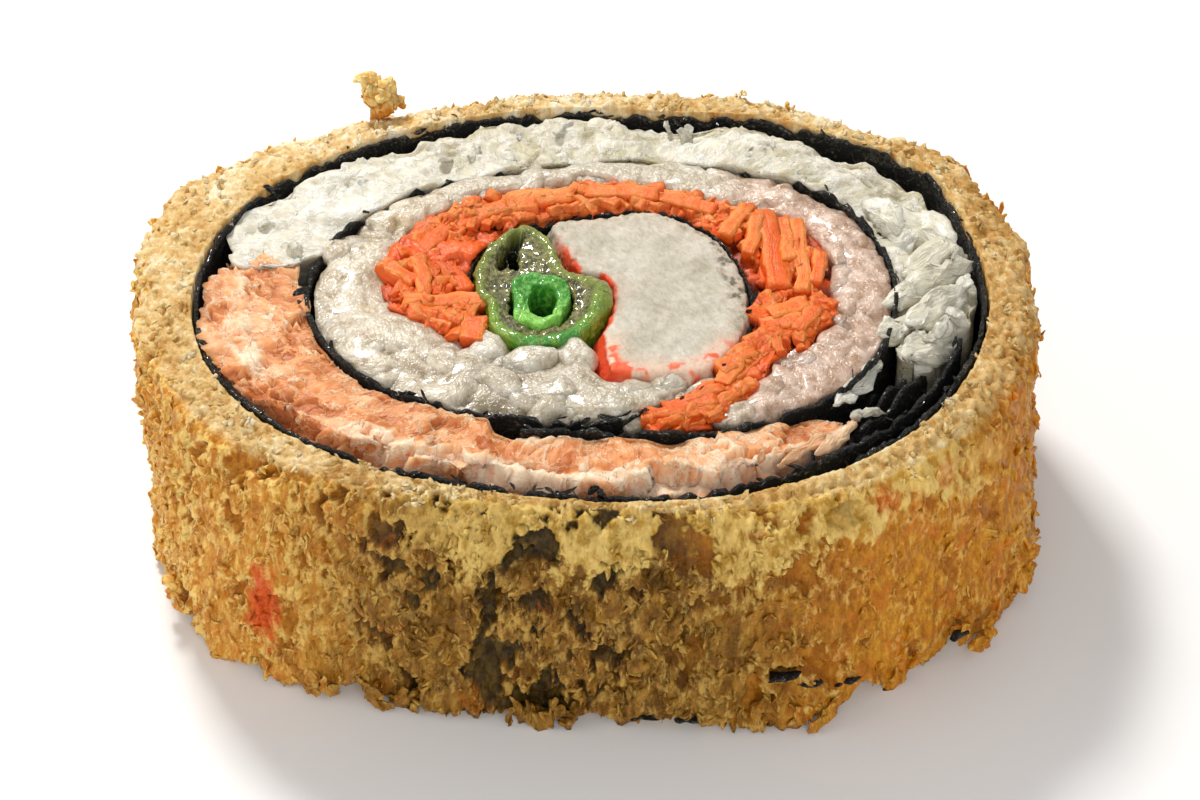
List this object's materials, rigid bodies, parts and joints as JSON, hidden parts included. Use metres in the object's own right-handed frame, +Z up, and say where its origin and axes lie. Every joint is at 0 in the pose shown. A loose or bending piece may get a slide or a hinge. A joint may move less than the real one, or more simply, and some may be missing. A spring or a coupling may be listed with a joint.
{
  "type": "fried sushi roll slice",
  "caption": "One slice of a thick sushi roll coated in fried breadcrumbs, cut face up, with fish, rice, carrot, crab stick and spring onion inside seaweed.",
  "frame": {"origin": "middle of the slice, on the cut face that it lies on", "axes": "+X along the slice's long way across, +Y to the back of it as pictured, +Z up through the slice, from one cut face to the other"},
  "size_m": [0.0786, 0.0596, 0.0264],
  "materials": {
    "crumbs": "rough, crumbly, fried golden brown",
    "seaweed": "damp, nearly black",
    "salmon": "moist, flaky",
    "white_fish": "moist, fibrous",
    "rice": "wet, sticky",
    "carrot": "moist",
    "crab_stick": "moist, finely fibrous, with a red rind",
    "outer_leaf": "moist, olive green",
    "inner_leaf": "moist, bright green"
  },
  "bodies": {
    "root": {"crumb_coat": "crumbs", "outer_nori": "seaweed", "inner_nori": "seaweed", "salmon": "salmon", "white_fish": "white_fish", "rice": "rice", "carrot": "carrot", "crab_stick": "crab_stick", "outer_leaf": "outer_leaf", "inner_leaf": "inner_leaf"}
  },
  "joints": []
}
